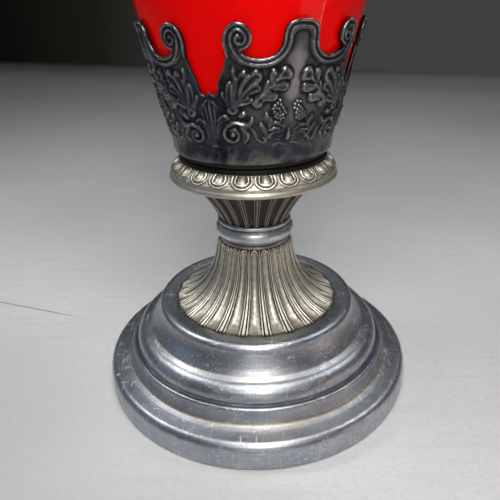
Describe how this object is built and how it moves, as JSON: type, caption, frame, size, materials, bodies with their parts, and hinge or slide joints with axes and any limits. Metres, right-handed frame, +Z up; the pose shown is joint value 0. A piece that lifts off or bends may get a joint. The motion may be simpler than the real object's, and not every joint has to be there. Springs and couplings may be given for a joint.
{
  "type": "table sanctuary lamp",
  "caption": "Table sanctuary lamp: stepped metal foot, fluted stem, egg-and-dart ring and embossed crown-edged cup holding a removable flared ruby glass with a cased candle.",
  "frame": {"origin": "centre of the resting face under the foot", "axes": "+Z up along the axis of revolution; -Y is the front"},
  "size_m": [0.14, 0.14, 0.232],
  "materials": {
    "satin_aluminium": "satin, fine specks and light wear",
    "iron": "rough casting",
    "felt": "felt",
    "steel": "plain zinc-plated steel",
    "aged_nickel": "warm aged nickel plate with dark patina in the recesses",
    "gasket": "matt black",
    "dark_pewter": "blackened pewter with burnished high points",
    "cork": "cork",
    "ruby_glass": "polished ruby glass",
    "clear_case": "thin clear plastic case",
    "wax": "ivory candle wax",
    "wick_cotton": "cotton wick"
  },
  "bodies": {
    "stand": {"foot_flange": "satin_aluminium", "foot_dome": "satin_aluminium", "base_weight": "iron", "base_felt": "felt", "base_washer": "steel", "base_nut": "steel", "tie_rod": "steel", "fluted_skirt": "aged_nickel", "collar_ring": "satin_aluminium", "fluted_neck": "aged_nickel", "egg_dart_ring": "aged_nickel", "cup_gasket": "gasket", "crown_cup": "dark_pewter", "cup_washer": "steel", "cup_nut": "steel", "cork_seat": "cork"},
    "glass": {"ruby_glass": "ruby_glass"},
    "candle": {"candle_case": "clear_case", "candle_wax": "wax", "wick": "wick_cotton", "wick_sustainer": "steel"}
  },
  "joints": [
    {"name": "glass_lift", "type": "slide", "parent": "stand", "child": "glass", "axis": [0, 0, 1], "range_m": [0, 0.06]},
    {"name": "candle_lift", "type": "slide", "parent": "glass", "child": "candle", "axis": [0, 0, 1], "range_m": [0, 0.13]}
  ]
}
